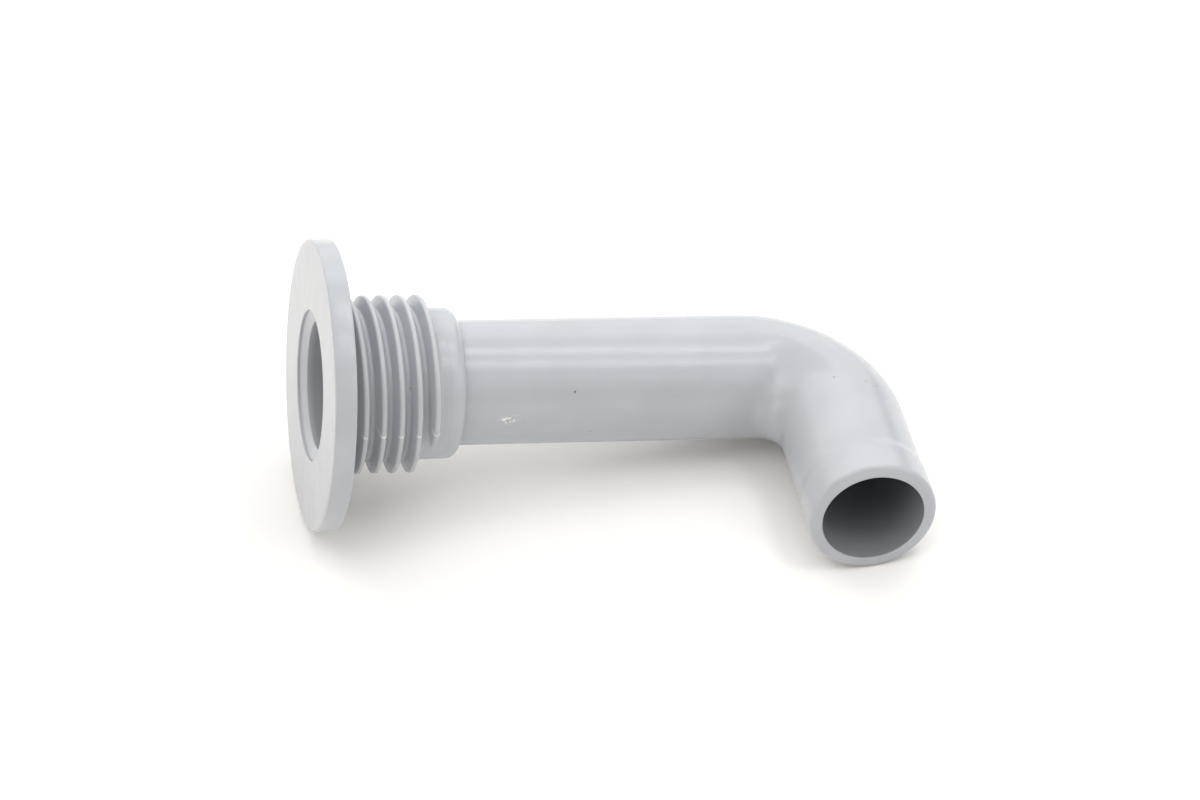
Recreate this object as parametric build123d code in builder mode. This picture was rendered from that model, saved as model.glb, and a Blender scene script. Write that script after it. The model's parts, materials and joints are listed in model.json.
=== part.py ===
from build123d import *
from math import hypot, sqrt
import os

# Thru hull fitting with a 90 degree elbow, lying on its flange rim, its bend and its hose bead.
# Lengths along the barrel run from the outer face of the flange towards the bend, and lengths
# along the tail run from the point where the two centre lines cross.

# Flange and mouth
flange_radius = 29.5
flange_thickness = 4.4
flange_edge_break = 0.3
mouth_seat_width = 2.25
mouth_recess = 0.6
mouth_seat_depth = 1.65
mouth_edge_break = 0.15
inlet_wall = 2.35
inlet_depth = 7.2

# Plain shoulder behind the flange, just wider than the thread, for the hull hole to fit over
shoulder_margin = 0.15
shoulder_length = 1.2

# Male thread, right-handed, on a plain core that carries on as the hub
threads_per_inch = 7
thread_depth = 2.7
thread_crest_land = 0.9
thread_root_land = 0.8
thread_length = 18.9
thread_end_angle = 198
thread_embed = 0.4

# Hub and the socket that takes the pipe
hub_length = 6.2
hub_wall = 2.6
hub_end_land = 0.2
socket_stop_land = 1.2
socket_clearance = 0.05

# Pipe, bend and tail
pipe_radius = 12.7
pipe_wall = 2.3
pipe_end_chamfer = 0.5
pipe_run = 58.95
bend_throat_radius = 5.95
tail_run = 27.3
bead_height = 0.3
bead_land = 7.4
bead_ramp = 3.0
tail_end_round = 0.7
bore_edge_break = 0.15

# Sizes that follow from the ones above
inch = 25.4
pitch = inch / threads_per_inch
waterway_radius = pipe_radius - pipe_wall
socket_radius = pipe_radius + socket_clearance
core_radius = socket_radius + hub_wall
thread_crest_radius = core_radius + thread_depth
shoulder_radius = thread_crest_radius + shoulder_margin
hub_round = hub_wall - hub_end_land
inlet_radius = core_radius - inlet_wall
mouth_radius = inlet_radius + mouth_seat_width
funnel_end = inlet_depth + inlet_radius - waterway_radius
socket_start = funnel_end + socket_stop_land
thread_end = flange_thickness + thread_length
hub_end = thread_end + hub_length
bend_start = hub_end + pipe_run
bend_radius = pipe_radius + bend_throat_radius
crossing = bend_start + bend_radius
tail_length = bend_radius + tail_run
bead_radius = pipe_radius + bead_height
bead_start = tail_length - bead_land


def resting_tilt():
    """Sine of the barrel's slope down, sine of the tail's slope up, and height of the face centre."""
    rim_radius = flange_radius - flange_edge_break
    rim_length = flange_thickness - flange_edge_break
    down, up = 0.0, 0.0
    for _ in range(40):
        rim = rim_radius * sqrt(1 - down**2) + flange_edge_break
        bead = bead_radius * sqrt(1 - up**2)
        down = (rim + up * bead_start - bead) / (crossing - rim_length)
        up = (bead - pipe_radius + bend_radius * (down + up - hypot(down, up))) / bead_start
    return down, up, down * rim_length + rim


down, up, face_height = resting_tilt()
level = sqrt(1 - down**2)
barrel_dir = Vector(level, 0, -down)
tail_dir = Vector(down * up / level, -sqrt(level**2 - up**2) / level, up)

# The origin is on the ground, under the middle of the lying part.
low_x = -down * flange_radius
high_x = level * crossing + bead_radius
low_y = tail_dir.Y * tail_length
high_y = flange_radius
face_centre = Vector(-(low_x + high_x) / 2, -(low_y + high_y) / 2, face_height)

# Barrel plane: the normal runs along the barrel, and x points away from the tail.
barrel = Plane(face_centre, x_dir=-tail_dir, z_dir=barrel_dir)
# Bend plane: x runs along the barrel, and the tail leaves towards -y.
bend = Plane(face_centre, x_dir=barrel_dir, z_dir=barrel.y_dir)
barrel_axis = Axis(face_centre, barrel_dir)
tail_axis = Axis(barrel.offset(crossing).origin, tail_dir)

# --- Flange, shoulder, threaded barrel and hub ---
ridge_start = flange_thickness / 2
ridge_flank = (pitch - thread_crest_land - thread_root_land) / 2
ridge_foot_flank = ridge_flank * (1 + thread_embed / thread_depth)
ridge_turn = 360 * (thread_end - ridge_start) / pitch
ridge_plane = Plane(barrel.offset(ridge_start).location * Rot(Z=thread_end_angle - ridge_turn))
ridge_path = ridge_plane.location * Helix(pitch, thread_end - ridge_start, core_radius)
run_out = Plane(barrel.offset(thread_end).location * Rot(Z=thread_end_angle))

with BuildPart() as flanged_barrel:
    with BuildSketch(barrel.offset(ridge_start)):
        Circle(core_radius)
    extrude(amount=hub_end - ridge_start)
    hub_rim = flanged_barrel.edges().filter_by(GeomType.CIRCLE).sort_by(barrel_axis)[-1]
    fillet(hub_rim, hub_round)

    # Thread ridge, and the flat that fades it out at its last end
    with BuildSketch(Plane(ridge_path @ 0, x_dir=ridge_plane.x_dir, z_dir=ridge_path % 0)):
        with BuildLine():
            Polyline(
                (-thread_embed, -thread_crest_land / 2 - ridge_foot_flank),
                (thread_depth, -thread_crest_land / 2),
                (thread_depth, thread_crest_land / 2),
                (-thread_embed, thread_crest_land / 2 + ridge_foot_flank),
                close=True,
            )
        make_face()
    sweep(path=ridge_path, is_frenet=True)
    with BuildSketch(Plane(run_out.origin, x_dir=barrel_dir, z_dir=run_out.x_dir).offset(core_radius)):
        Rectangle(pitch, 2 * thread_crest_radius)
    extrude(amount=2 * thread_depth, mode=Mode.SUBTRACT)

    # Shoulder and flange disc
    with BuildSketch(barrel.offset(ridge_start)):
        Circle(shoulder_radius)
    extrude(amount=flange_thickness + shoulder_length - ridge_start)
    with BuildSketch(barrel):
        Circle(flange_radius)
    extrude(amount=flange_thickness)
    rims = flanged_barrel.edges().filter_by(GeomType.CIRCLE).sort_by(SortBy.RADIUS)[-2:]
    fillet(rims, flange_edge_break)

    # Mouth, inlet, funnel and socket, in one cut
    with BuildSketch(bend):
        with BuildLine():
            Polyline(
                (0, 0),
                (0, mouth_radius + mouth_edge_break),
                (mouth_edge_break, mouth_radius),
                (mouth_recess, mouth_radius),
                (mouth_seat_depth, inlet_radius),
                (inlet_depth, inlet_radius),
                (funnel_end, waterway_radius),
                (socket_start, waterway_radius),
                (socket_start, socket_radius),
                (hub_end, socket_radius),
                (hub_end, 0),
                close=True,
            )
        make_face()
    revolve(axis=barrel_axis, mode=Mode.SUBTRACT)

# --- Pipe, bend and hose tail ---
with BuildPart() as elbow_pipe:
    with BuildLine(bend) as centre_line:
        Line((socket_start, 0), (bend_start, 0))
        JernArc((bend_start, 0), (1, 0), bend_radius, -90)
        Line((crossing, -bend_radius), (crossing, -tail_length))
    with BuildSketch(barrel.offset(socket_start)):
        Circle(pipe_radius)
    sweep(path=centre_line.line)

    # Hose bead, with a soft ramp up from the pipe
    with BuildSketch(bend):
        with BuildLine():
            Polyline(
                (crossing + pipe_radius, -bead_start + bead_ramp),
                (crossing, -bead_start + bead_ramp),
                (crossing, -tail_length),
                (crossing + bead_radius, -tail_length),
                (crossing + bead_radius, -bead_start),
            )
            Spline(
                (crossing + bead_radius, -bead_start),
                (crossing + pipe_radius, -bead_start + bead_ramp),
                tangents=[(0, 1), (0, 1)],
            )
        make_face()
    revolve(axis=tail_axis)
    tail_rim = elbow_pipe.edges().filter_by(GeomType.CIRCLE).sort_by(tail_axis)[-1]
    fillet(tail_rim, tail_end_round)
    socket_rim = elbow_pipe.edges().filter_by(GeomType.CIRCLE).sort_by(barrel_axis)[0]
    chamfer(socket_rim, pipe_end_chamfer)

    # Waterway
    with BuildSketch(barrel.offset(socket_start)):
        Circle(waterway_radius)
    sweep(path=centre_line.line, mode=Mode.SUBTRACT)
    bore_rim = elbow_pipe.edges().filter_by(GeomType.CIRCLE).sort_by(tail_axis)[-2:].sort_by(SortBy.RADIUS)[0]
    chamfer(bore_rim, bore_edge_break)

flanged_barrel.part.label = "flanged_barrel"
elbow_pipe.part.label = "elbow_pipe"

os.makedirs("parts", exist_ok=True)
export_step(flanged_barrel.part, "parts/flanged_barrel.step")
export_step(elbow_pipe.part, "parts/elbow_pipe.step")
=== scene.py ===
import json
import math

import bpy
import numpy as np
from mathutils import Matrix, Vector


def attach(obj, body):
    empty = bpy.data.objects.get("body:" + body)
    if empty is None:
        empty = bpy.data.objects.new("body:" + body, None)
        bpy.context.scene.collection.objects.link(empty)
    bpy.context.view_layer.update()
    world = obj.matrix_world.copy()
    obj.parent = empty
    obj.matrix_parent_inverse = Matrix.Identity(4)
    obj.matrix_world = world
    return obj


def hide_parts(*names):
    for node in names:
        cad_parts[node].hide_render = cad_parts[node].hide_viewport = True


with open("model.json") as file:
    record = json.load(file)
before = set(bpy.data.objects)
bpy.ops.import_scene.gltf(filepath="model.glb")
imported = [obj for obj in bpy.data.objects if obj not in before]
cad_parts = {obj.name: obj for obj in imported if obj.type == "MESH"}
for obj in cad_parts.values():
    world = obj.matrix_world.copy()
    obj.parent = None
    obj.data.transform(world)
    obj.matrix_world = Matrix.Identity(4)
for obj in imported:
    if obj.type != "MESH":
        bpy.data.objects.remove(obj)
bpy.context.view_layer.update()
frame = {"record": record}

# A thru hull fitting in grey moulded plastic, lying on its flange rim, its bend and its hose bead.
# Sizes are in millimetres. Lengths along the barrel run from the outer face of the flange towards
# the bend, and lengths along the pipe run on from there round the bend to the tail's end.
# Angles round an axis start at the side away from the tail and turn upwards, in degrees.
MM = 0.001

# Flange and mouth
FLANGE_RADIUS = 29.5
FLANGE_THICKNESS = 4.4
FLANGE_FRONT_ROUND = 0.45
FLANGE_BACK_ROUND = 0.3
MOUTH_RADIUS = 15.25
MOUTH_ROUND = 0.15
MOUTH_RECESS = 0.6
MOUTH_SEAT_DEPTH = 1.65
INLET_RADIUS = 13.0
INLET_DEPTH = 7.2
INLET_FUNNEL_END = 9.8

# Shoulder, thread and hub
SHOULDER_RADIUS = 18.2
SHOULDER_END = 5.6
CORE_RADIUS = 15.35
THREAD_PITCH = 25.4 / 7
THREAD_DEPTH = 2.7
THREAD_CREST_LAND = 0.9
THREAD_ROOT_LAND = 0.8
THREAD_END = 23.3
LAST_CREST_ANGLE = 198
THREAD_SINK_ANGLE = 171.0
THREAD_END_ANGLE = 205.0
THREAD_SINK_DEPTH = THREAD_DEPTH + 0.3
CREST_BLEND = 0.36
ROOT_BLEND = 0.25
SHOULDER_SLOPE = 14
CUTTER_LINES = ((0.30, 0.025), (-0.02, 0.035), (-0.36, 0.035), (-0.66, 0.03))
CUTTER_LINE_WIDTH = 0.075
HUB_END = 29.5
HUB_ROUND = 2.4
SOCKET_RADIUS = 12.75
SOCKET_START = 11.0

# Pipe, bend and tail
PIPE_RADIUS = 12.7
WATERWAY_RADIUS = 10.4
BEND_START = 88.45
BEND_RADIUS = 18.65
THROAT_RADIUS = 5.95
TIGHT_FROM = 0.85
TAIL_RUN = 27.3
BEAD_HEIGHT = 0.3
BEAD_LAND = 7.4
BEAD_RAMP = 3.0
TAIL_END_ROUND = 1.0
BORE_ROUND = 0.15
INSERTED_END_ROUND = 0.4

# The two halves of the mould meet near the plane of the bend, and leave a line on the tail's side.
PARTING_ANGLE = 178.0
BURR_HEIGHT = 0.09
NICK_WIDTH = 0.55
WHISKER_WIDTH = 0.6
WHISKER_LEAN = 4.4
BURR_WANDER = 0.9
BURRS_STOP = THREAD_END + 1.2
RIM_SEAMS = (178.4, 180.2)
RIM_SEAM_DEPTH = 0.035
RIM_SEAM_WIDTH = 0.13

# Widest gap between the rows of a mesh on each stretch, and on the rest of the barrel
THREAD_ROWS = 0.055
PIPE_ROWS = 0.8
BEND_ROWS = 0.3
BEAD_ROWS = 0.25
PLAIN_ROWS = 1.6

# Faint turning rings on the hub
HUB_RINGS = (25.9, 27.3)
HUB_RING_DEPTH = 0.03
HUB_RING_WIDTH = 0.14


# --- Where the fitting lies, from the record's mounts ---
mounts = {mount["name"]: mount for mount in frame["record"]["mounts"]}


def mount_point(name):
    return Vector(mounts[name]["pos_m"])


barrel_dir = Vector(mounts["hull_seat"]["axis"]).normalized()
tail_dir = Vector(mounts["hose_spigot"]["axis"]).normalized()
away = -(tail_dir - tail_dir.dot(barrel_dir) * barrel_dir).normalized()
upward = barrel_dir.cross(away)
seat_along = (mount_point("hull_seat") - mount_point("inlet_bore")).dot(barrel_dir)
face_centre = mount_point("inlet_bore") + barrel_dir * (seat_along - FLANGE_THICKNESS * MM)
lying = Matrix.Translation(face_centre) @ Matrix((barrel_dir, away, upward)).transposed().to_4x4()


# --- Outlines: closed loops of (length, radius) points with their corners rounded ---
def rounded(corners, step=0.12):
    """The loop through corners (length, radius, corner radius), with arcs at the corners."""
    points = []
    count = len(corners)
    for i, (x, r, corner_radius) in enumerate(corners):
        here = np.array([x, r])
        before = np.array(corners[i - 1][:2]) - here
        after = np.array(corners[(i + 1) % count][:2]) - here
        if corner_radius == 0:
            points.append(here)
            continue
        before /= np.linalg.norm(before)
        after /= np.linalg.norm(after)
        half = math.acos(np.clip(before @ after, -1, 1)) / 2
        cut = corner_radius / math.tan(half)
        inwards = (before + after) / np.linalg.norm(before + after)
        centre = here + inwards * corner_radius / math.sin(half)
        start, end = here + before * cut - centre, here + after * cut - centre
        turn = math.pi - 2 * half
        pieces = max(3, round(turn * corner_radius / step))
        for k in range(pieces + 1):
            share = k / pieces
            spoke = start * math.sin((1 - share) * turn) + end * math.sin(share * turn)
            points.append(centre + spoke / math.sin(turn))
    return points


def filled(points, gap_at):
    """The loop with more points on its straight runs, at most gap_at(length, radius) apart."""
    out = []
    for here, there in zip(points, points[1:] + points[:1]):
        reach = np.linalg.norm(there - here)
        pieces = max(1, math.ceil(reach / gap_at(*(here + there) / 2)))
        out += [here + (there - here) * k / pieces for k in range(pieces)]
    return np.array(out)


def angles_round(coarse, fine, lines, width):
    """Angles round an axis: coarse steps, and fine ones within width of each line."""
    angles = set(np.round(np.arange(0, 360, coarse), 4))
    for line in lines:
        angles |= set(np.round(np.arange(line - width, line + width, fine) % 360, 4))
    return np.array(sorted(angles))


def skin(name, points, marks, count):
    """A closed mesh, with its marks, from a grid of points that joins up both ways."""
    points = points * MM @ np.array(lying.to_3x3()).T + np.array(lying.translation)
    rows = len(points) // count
    index = np.arange(rows * count).reshape(rows, count)
    down, right = np.roll(index, -1, 0), np.roll(index, -1, 1)
    corner = np.roll(down, -1, 1)
    faces = np.stack([index, right, corner, down], -1).reshape(-1, 4)
    mesh = bpy.data.meshes.new(name)
    mesh.from_pydata(points.tolist(), [], faces.tolist())
    mesh.shade_smooth()
    for mark, strength in marks.items():
        values = mesh.attributes.new(mark, "FLOAT", "POINT").data
        values.foreach_set("value", strength.ravel().astype(np.float32))
    piece = bpy.data.objects.new(name, mesh)
    bpy.context.scene.collection.objects.link(piece)
    return piece


# --- Barrel: flange, shoulder, thread and hub ---
def soft_max(a, b, blend):
    return (a + b + np.sqrt((a - b) ** 2 + blend**2)) / 2


def soft_min(a, b, blend):
    return (a + b - np.sqrt((a - b) ** 2 + blend**2)) / 2


def eased(share):
    """A share from 0 to 1 that starts and stops softly."""
    return share**2 * (3 - 2 * share)


def hump(distance, width):
    """1 at no distance, and fading away on both sides within about the width."""
    return np.exp(-((distance / width) ** 2))


def thread_radius(x, angle):
    """Radius of the threaded stretch at a length and an angle, with its shoulder and run-out."""
    rise = THREAD_PITCH / 360
    last_crest = THREAD_END + (angle - LAST_CREST_ANGLE) * rise
    turns = np.round((x - last_crest) / THREAD_PITCH)
    off_crest = np.abs(x - last_crest - turns * THREAD_PITCH)
    flank = (THREAD_PITCH - THREAD_CREST_LAND - THREAD_ROOT_LAND) / 2
    ridge = (THREAD_CREST_LAND / 2 + flank - off_crest) / flank * THREAD_DEPTH
    ridge = soft_min(ridge, THREAD_DEPTH + 0.03, CREST_BLEND)

    # The last turn sinks into the core.
    past = (angle + 360 * turns - THREAD_SINK_ANGLE) / (THREAD_END_ANGLE - THREAD_SINK_ANGLE)
    past = np.clip(past, 0, 1)
    ridge = ridge - THREAD_SINK_DEPTH * eased(past)

    # Fine turning lines of the mould's cutter along the root and the flank that faces the pipe
    past_root = x - last_crest - (turns + 0.5) * THREAD_PITCH
    past_root = np.where(past_root < -THREAD_PITCH / 2, past_root + THREAD_PITCH, past_root)
    lines = 0
    for at, height in CUTTER_LINES:
        lines += height * hump(past_root - at, CUTTER_LINE_WIDTH)
    lines *= x < last_crest

    radius = CORE_RADIUS + soft_max(ridge, 0, ROOT_BLEND) + lines - 0.02
    shoulder = SHOULDER_RADIUS - np.clip(x - SHOULDER_END + 0.15, 0, None) * SHOULDER_SLOPE
    return soft_max(radius, shoulder, 0.15)


def jagged(x, seed, spacing):
    """Rough values from 0 to 1 along x, one every spacing millimetres, joined by straight runs."""
    count, first = 600, 100
    values = np.random.default_rng(seed).random(count)
    return np.interp(x / spacing + first, np.arange(count), values)


def mould_burrs(x, angle):
    """Strength of the torn flash where the mould's halves meet: a nick over each crest, and
    whiskers that lean away from it on both sides. Widths are in degrees, and distances from the
    crest in millimetres."""
    from_line = angle - PARTING_ANGLE
    from_crest = x - THREAD_END - (angle - LAST_CREST_ANGLE) * THREAD_PITCH / 360
    from_crest = np.abs((from_crest + THREAD_PITCH / 2) % THREAD_PITCH - THREAD_PITCH / 2)
    wander = BURR_WANDER * (jagged(x, 3, 0.45) - 0.5)
    nicks = hump(from_line - wander, NICK_WIDTH) * np.clip(1.25 - from_crest / 0.75, 0, 1)
    nicks *= 0.45 + 0.55 * jagged(x, 5, 0.3)
    on_crest = 0.3
    aside = from_line + WHISKER_LEAN * (from_crest - on_crest) - wander
    whiskers = hump(aside, WHISKER_WIDTH) * (from_crest > on_crest)
    whiskers *= np.clip(2.8 - from_crest / 0.45, 0, 1)
    whiskers *= np.clip(jagged(x, 8, 0.8) * 1.8 - 0.5, 0, 1)
    return np.clip(nicks + whiskers, 0, 1) * (x < BURRS_STOP)


def barrel():
    corners = [
        (0, MOUTH_RADIUS, MOUTH_ROUND),
        (0, FLANGE_RADIUS, FLANGE_FRONT_ROUND),
        (FLANGE_THICKNESS, FLANGE_RADIUS, FLANGE_BACK_ROUND),
        (FLANGE_THICKNESS, SHOULDER_RADIUS, 0.1),
        (SHOULDER_END, SHOULDER_RADIUS, 0),
        (SHOULDER_END, CORE_RADIUS, 0),
        (HUB_END, CORE_RADIUS, HUB_ROUND),
        (HUB_END, SOCKET_RADIUS, 0.08),
        (SOCKET_START, SOCKET_RADIUS, 0),
        (SOCKET_START, WATERWAY_RADIUS, 0),
        (INLET_FUNNEL_END, WATERWAY_RADIUS, 0.4),
        (INLET_DEPTH, INLET_RADIUS, 0.4),
        (MOUTH_SEAT_DEPTH, INLET_RADIUS, 0.12),
        (MOUTH_RECESS, MOUTH_RADIUS, 0.05),
    ]

    def gap_at(x, r):
        on_core = SHOULDER_END <= x <= HUB_END and r > CORE_RADIUS - 0.01
        return THREAD_ROWS if on_core else PLAIN_ROWS

    outline = filled(rounded(corners), gap_at)
    angles = angles_round(1.0, 0.12, [PARTING_ANGLE - 2], 5)
    x, angle = np.meshgrid(outline[:, 0], angles, indexing="ij")
    r = np.repeat(outline[:, 1:], len(angles), 1)

    threaded = (x > SHOULDER_END + 0.001) & (x < THREAD_END + THREAD_PITCH)
    threaded &= np.abs(r - CORE_RADIUS) < 0.01
    r = np.where(threaded, thread_radius(x, angle), r)
    rings = sum(hump(x - at, HUB_RING_WIDTH) for at in HUB_RINGS)
    r -= HUB_RING_DEPTH * rings * (r > SOCKET_RADIUS + 0.5) * (x > THREAD_END)
    seam = sum(hump(angle - at, RIM_SEAM_WIDTH) for at in RIM_SEAMS)
    r -= RIM_SEAM_DEPTH * seam * (r > FLANGE_RADIUS - 0.01)
    burrs = mould_burrs(x, angle) * threaded
    r += BURR_HEIGHT * burrs * (r < CORE_RADIUS + THREAD_DEPTH - 0.1)
    marks = {
        # painted shade on the waterway's walls, at 60 % strength in the barrel
        "bore": 0.6 * ((x > MOUTH_SEAT_DEPTH + 0.3) & (r < INLET_RADIUS + 0.1)),
        # painted highlight: a paler colour near the top of each thread crest
        "crest_highlight_paint": np.clip((r - CORE_RADIUS - THREAD_DEPTH + 0.45) / 0.35, 0, 1) * threaded,
        "burr": burrs,
    }
    turn = np.radians(angle)
    points = np.stack([x, r * np.cos(turn), r * np.sin(turn)], -1).reshape(-1, 3)
    return skin("barrel", points, marks, len(angles))


# --- Pipe, bend and tail ---
def elbow():
    bend_end = BEND_START + BEND_RADIUS * math.pi / 2
    tail_end = bend_end + TAIL_RUN
    bead_start = tail_end - BEAD_LAND
    corners = [
        (SOCKET_START, WATERWAY_RADIUS, 0),
        (SOCKET_START, PIPE_RADIUS, INSERTED_END_ROUND),
        (bead_start - BEAD_RAMP, PIPE_RADIUS, 0),
        (tail_end, PIPE_RADIUS, TAIL_END_ROUND),
        (tail_end, WATERWAY_RADIUS, BORE_ROUND),
    ]

    def gap_at(s, r):
        if s > bead_start - BEAD_RAMP - 1:
            return BEAD_ROWS
        return BEND_ROWS if s > BEND_START else PIPE_ROWS

    outline = filled(rounded(corners), gap_at)
    s_line, r_line = outline.T
    share = np.clip((s_line - bead_start + BEAD_RAMP) / BEAD_RAMP, 0, 1)
    outwards = (r_line - WATERWAY_RADIUS - 0.5) / (PIPE_RADIUS - WATERWAY_RADIUS - 0.5)
    r_line = r_line + BEAD_HEIGHT * eased(share) * np.clip(outwards, 0, 1)

    angles = angles_round(1.25, 0.3, [PARTING_ANGLE], 2.0)
    s, angle = np.meshgrid(s_line, angles, indexing="ij")
    r = np.repeat(r_line[:, None], len(angles), 1)

    # Each line along the skin runs straight, turns, and runs straight again. The inside of this
    # bend is a corner with a nearly even fillet, so lines turn tighter there than in a plain one.
    turn = np.radians(angle)
    out = r * np.cos(turn)
    inward = np.clip(-np.cos(turn), 0, 1)
    plain_radius = BEND_RADIUS + out
    tightening = eased(np.clip(inward / TIGHT_FROM, 0, 1))
    tight_radius = plain_radius + (THROAT_RADIUS - plain_radius) * tightening
    radius = np.where((r > PIPE_RADIUS - 0.01) & (inward > 0), tight_radius, plain_radius)
    straight = plain_radius - radius
    gone = np.clip((s - BEND_START) / (bend_end - BEND_START), 0, 1)
    gone *= 2 * straight + radius * math.pi / 2
    turned = np.clip((gone - straight) / radius, 0, math.pi / 2)
    before = np.minimum(s - BEND_START, 0) + np.minimum(gone, straight)
    after = np.maximum(s - bend_end, 0) + np.maximum(gone - straight - radius * math.pi / 2, 0)
    x = BEND_START + before + radius * np.sin(turned)
    y = out - radius * (1 - np.cos(turned)) - after
    points = np.stack([x, y, r * np.sin(turn)], -1).reshape(-1, 3)
    # The waterway's walls carry the painted shade mark at full strength.
    return skin("elbow", points, {"bore": r < WATERWAY_RADIUS + 0.02}, len(angles))


# --- Material ---
def linear(colour):
    """An sRGB hex colour such as "BFC2C6" as linear red, green, blue and alpha."""
    parts = [int(colour[i : i + 2], 16) / 255 for i in (0, 2, 4)]
    lit = [c / 12.92 if c <= 0.04045 else ((c + 0.055) / 1.055) ** 2.4 for c in parts]
    return (*lit, 1.0)


def add(tree, kind, settings, sockets, out=0):
    """Adds a node with its settings, sets or links its sockets, and gives one of its outputs."""
    node = tree.nodes.new(kind)
    for name, value in settings.items():
        setattr(node, name, value)
    for key, value in sockets.items():
        if isinstance(value, bpy.types.NodeSocket):
            tree.links.new(value, node.inputs[key])
        else:
            node.inputs[key].default_value = value
    return node.outputs[out] if len(node.outputs) else None


def on_skin(x, r, angle):
    """Body coordinates, in millimetres, of a point on the barrel or the pipe."""
    return (x, r * math.cos(math.radians(angle)), r * math.sin(math.radians(angle)))


# Gate mark: body coordinates of its middle, and half its size along the barrel and across it
GATE_MIDDLE = on_skin(38.7, PIPE_RADIUS, 178.2)
GATE_HALF_SIZE = (3.0, 1.5, 1.6)
GATE_RELIEF = 2.0

# Dark specks in the plastic: body coordinates, radius and strength
SPECKS = [
    (on_skin(51.9, PIPE_RADIUS, 152), 0.35, 0.8),
    (on_skin(56.0, PIPE_RADIUS, 196), 0.25, 0.5),
    (on_skin(17.8, CORE_RADIUS, 145), 0.30, 0.8),
    ((103.84, -16.03, 12.28), 0.40, 0.30),
    ((110.19, -17.58, 12.31), 0.55, 0.18),
    ((112.47, -18.26, 11.51), 0.40, 0.25),
]

# Random grain: size of its spots in millimetres, detail, and how close the spots lie along the
# barrel compared with across it
GRAINS = {
    "flow": (9.0, 2, 1.0),
    "gloss": (4.0, 3, 1.0),
    "scratches": (0.42, 4, 0.6),
    "relief": (0.35, 2, 1.0),
}
# The stretch of each grain's values that counts, and what it turns into
GRAIN_RANGES = {
    "flow": (0.3, 0.7, 0.0, 1.0),
    "gloss": (0.3, 0.7, 0.22, 0.265),
    "scratches": (0.48, 0.64, 0.0, 1.0),
}
BUMP_STRENGTH = 0.12
BUMP_HEIGHT = 0.02 * MM


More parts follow.
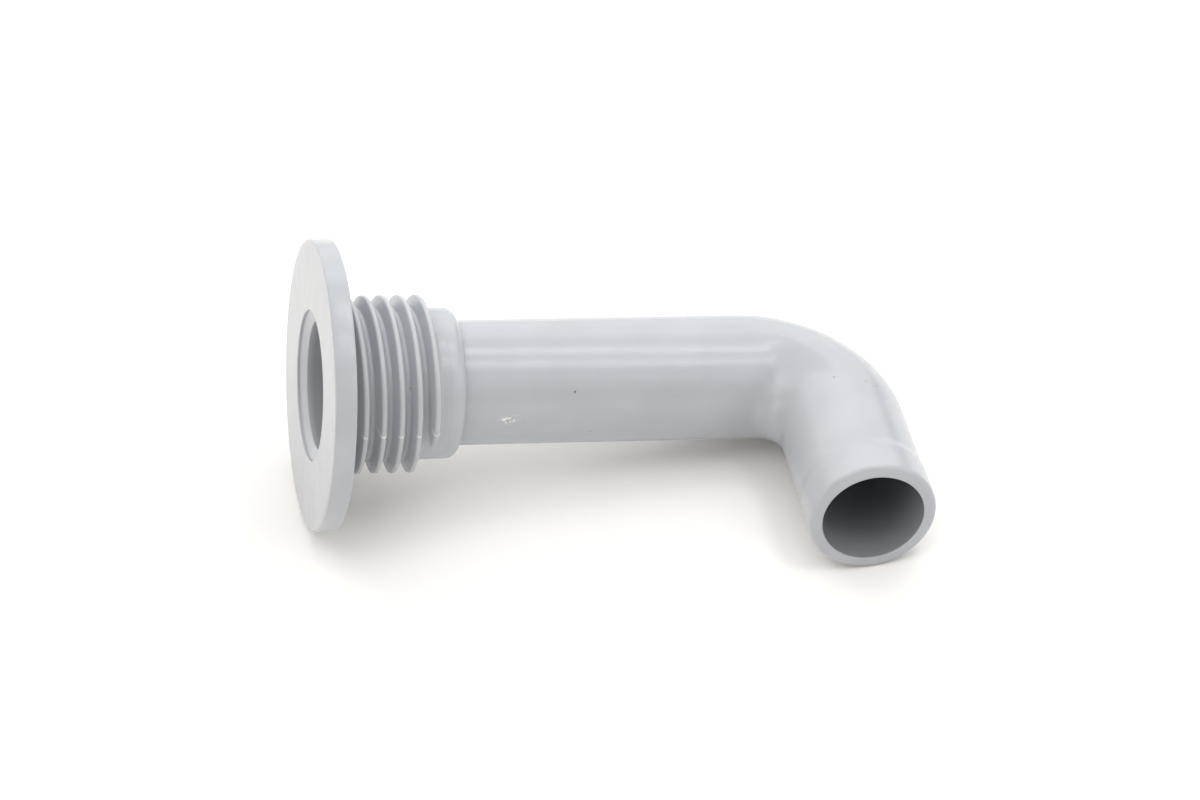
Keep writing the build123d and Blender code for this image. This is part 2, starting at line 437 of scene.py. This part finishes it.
def moulded_grey_plastic():
    """Injection-moulded grey plastic. The mould leaves it satin, with a fine grain, and the flow
    of the melt leaves soft clouds in its colour. Its crests get a painted highlight, a paler
    colour, its flash is torn white, and it has a scuffed gate mark and a few dark specks. Its
    waterway's walls get painted shade. The grain is drawn coarser than it is, so that it shows."""
    material = bpy.data.materials.new("moulded_grey_plastic")
    material.use_nodes = True
    tree = material.node_tree
    tree.nodes.clear()
    place = add(tree, "ShaderNodeTexCoord", {}, {}, "Object")
    lying_here = {
        "Location": lying.translation,
        "Rotation": lying.to_euler(),
        "Scale": (MM, MM, MM),
    }
    inverse = {"vector_type": "TEXTURE"}
    millimetres = add(tree, "ShaderNodeMapping", inverse, {"Vector": place, **lying_here})

    grain = {}
    multiply = {"operation": "MULTIPLY"}
    for name, (spot_size, detail, closeness) in GRAINS.items():
        stretched = {0: millimetres, 1: (closeness, 1, 1)}
        spread = add(tree, "ShaderNodeVectorMath", multiply, stretched)
        spots = {"Vector": spread, "Scale": 1 / spot_size, "Detail": detail}
        grain[name] = add(tree, "ShaderNodeTexNoise", {}, spots)

    soft = {"interpolation_type": "SMOOTHSTEP"}
    for name, (low, high, to_low, to_high) in GRAIN_RANGES.items():
        ends = {"From Min": low, "From Max": high, "To Min": to_low, "To Max": to_high}
        ends["Value"] = grain[name]
        grain[name] = add(tree, "ShaderNodeMapRange", soft, ends, "Result")

    # Soft-edged oval patches, 1 at the middle and 0 outside: first the gate mark, then the specks
    patches = []
    ovals = [(GATE_MIDDLE, GATE_HALF_SIZE)]
    ovals += [(middle, (radius,) * 3) for middle, radius, _ in SPECKS]
    for middle, half_size in ovals:
        around = {"Vector": millimetres, "Location": middle, "Scale": half_size}
        local = add(tree, "ShaderNodeMapping", inverse, around)
        reach = add(tree, "ShaderNodeVectorMath", {"operation": "LENGTH"}, {0: local}, "Value")
        edge = {"Value": reach, "From Min": 1.0, "From Max": 0.35}
        patches.append(add(tree, "ShaderNodeMapRange", soft, edge, "Result"))
    gate_mark, *specks = patches
    scuff = add(tree, "ShaderNodeMath", multiply, {0: gate_mark, 1: grain["scratches"]})

    # Marks read from the meshes: the painted highlight on the crests, the burrs, and the painted
    # shade in the waterway
    marks = ({"attribute_name": name} for name in ("crest_highlight_paint", "burr", "bore"))
    crest_highlight_paint, burr, bore = (add(tree, "ShaderNodeAttribute", mark, {}, "Fac") for mark in marks)

    # Tints over the plain grey, in order: where, how strongly and which colour
    tints = [
        (grain["flow"], 1.0, "B0B3B8"),
        # The crests are painted paler, as a painted highlight.
        (crest_highlight_paint, 0.25, "C8C7C4"),
        (burr, 0.9, "F4F1EA"),
        (scuff, 0.95, "E9E6DF"),
    ]
    tints += [(speck, strength, "4A4A4C") for speck, (_, _, strength) in zip(specks, SPECKS)]
    colour = linear("ACAFB4")
    for where, strength, tint in tints:
        amount = add(tree, "ShaderNodeMath", multiply, {0: where, 1: strength})
        layers = {"Factor": amount, "A": colour, "B": linear(tint)}
        colour = add(tree, "ShaderNodeMix", {"data_type": "RGBA"}, layers, "Result")

    # Painted shade: the waterway's walls are tinted down,
    # because this light alone leaves them too pale.
    darker = {"data_type": "RGBA", "blend_type": "MULTIPLY"}
    walls = {"Factor": bore, "A": colour, "B": linear("CCCCCC")}
    colour = add(tree, "ShaderNodeMix", darker, walls, "Result")

    heights = {0: scuff, 1: GATE_RELIEF, 2: grain["relief"]}
    relief = add(tree, "ShaderNodeMath", {"operation": "MULTIPLY_ADD"}, heights)
    bumps = {"Strength": BUMP_STRENGTH, "Distance": BUMP_HEIGHT, "Height": relief}
    normal = add(tree, "ShaderNodeBump", {}, bumps)
    surface = {"Base Color": colour, "Normal": normal, "Roughness": grain["gloss"], "IOR": 1.5}
    shader = add(tree, "ShaderNodeBsdfPrincipled", {}, surface)
    add(tree, "ShaderNodeOutputMaterial", {}, {"Surface": shader})
    return material


grey_plastic = moulded_grey_plastic()
for piece, node in ((barrel(), "flanged_barrel"), (elbow(), "elbow_pipe")):
    piece.data.materials.append(grey_plastic)
    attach(piece, "root")
    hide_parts(node)


# --- Floor, light and camera ---
FLOOR_REACH = 3.0


def floor():
    """A flat white sheet of paper, dull all over."""
    corners = [(-1, -1), (1, -1), (1, 1), (-1, 1)]
    corners = [(FLOOR_REACH * x, FLOOR_REACH * y, 0) for x, y in corners]
    mesh = bpy.data.meshes.new("floor")
    mesh.from_pydata(corners, [], [(0, 1, 2, 3)])
    piece = bpy.data.objects.new("floor", mesh)
    bpy.context.scene.collection.objects.link(piece)
    material = bpy.data.materials.new("white_paper_sweep")
    material.use_nodes = True
    shader = material.node_tree.nodes["Principled BSDF"]
    shader.inputs["Base Color"].default_value = linear("F8F6F2")
    shader.inputs["Roughness"].default_value = 0.9
    mesh.materials.append(material)


def softbox(name, at, aim, size, watts, colour="FFFFFF", turn=0):
    """An area light that faces the aim point, or straight down and turned if there is none."""
    light = bpy.data.lights.new(name, "AREA")
    light.shape = "RECTANGLE"
    light.size, light.size_y = size
    light.energy = watts
    light.color = linear(colour)[:3]
    lamp = bpy.data.objects.new(name, light)
    bpy.context.scene.collection.objects.link(lamp)
    lamp.location = at
    lamp.rotation_mode = "QUATERNION"
    if aim is None:
        lamp.rotation_quaternion = Matrix.Rotation(math.radians(turn), 3, "Z").to_quaternion()
    else:
        lamp.rotation_quaternion = (Vector(aim) - Vector(at)).to_track_quat("-Z", "Y")


floor()
# Where each light stands and looks, its size in metres and its power in watts
softbox("overhead", (0, 0.2, 1.3), (0, 0, 0), (2.6, 2.4), 21.2)
softbox("background", (0, 1.8, 0.9), (0, 0, 0), (3.4, 1.7), 24.5)
softbox("left_card", (-1.3, -0.3, 0.35), (0, 0, 0), (1.0, 0.6), 4.4, "FFF3EC")
softbox("right_card", (1.3, -0.2, 0.4), (0, 0, 0), (1.0, 0.6), 2.9)
softbox("front_right", (0.9, -0.9, 0.8), (0, 0, 0), (1.0, 0.8), 3.3)
softbox("front_left", (-0.6, -0.6, 1.1), (0, 0, 0), (0.8, 0.8), 2.4)
softbox("lamp_above", (0.365, 0.10, 0.93), None, (0.35, 0.06), 0.8, turn=-54)
softbox("lamp_in_front", (0.38, -0.34, 0.93), None, (0.35, 0.06), 0.75, turn=-56)

world = bpy.data.worlds.new("light_tent")
bpy.context.scene.world = world
world.use_nodes = True
world.node_tree.nodes["Background"].inputs["Color"].default_value = linear("FFFFFF")
world.node_tree.nodes["Background"].inputs["Strength"].default_value = 0.31

# The camera stands this far from the aim point, at these angles, and is rolled a little.
CAMERA_AIM = Vector((0.843, 0.806, 21.074)) * MM
CAMERA_DISTANCE = 1083.5 * MM
CAMERA_AZIMUTH = math.radians(-8.995)
CAMERA_ELEVATION = math.radians(40.589)
CAMERA_ROLL = math.radians(-2.536)
LENS_LENGTH = 160.327
SENSOR_WIDTH = 36
level = math.cos(CAMERA_ELEVATION)
sideways = math.sin(CAMERA_AZIMUTH) * level
towards = -math.cos(CAMERA_AZIMUTH) * level
back = Vector((sideways, towards, math.sin(CAMERA_ELEVATION)))
lens = bpy.data.cameras.new("camera")
lens.lens, lens.sensor_width = LENS_LENGTH, SENSOR_WIDTH
lens.clip_start, lens.clip_end = 0.05, 20
camera = bpy.data.objects.new("camera", lens)
bpy.context.scene.collection.objects.link(camera)
camera.location = CAMERA_AIM + back * CAMERA_DISTANCE
camera.rotation_mode = "QUATERNION"
level_view = (-back).to_track_quat("-Z", "Y")
camera.rotation_quaternion = level_view @ Matrix.Rotation(CAMERA_ROLL, 3, "Z").to_quaternion()
bpy.context.scene.camera = camera
bpy.context.scene.view_settings.view_transform = "Standard"
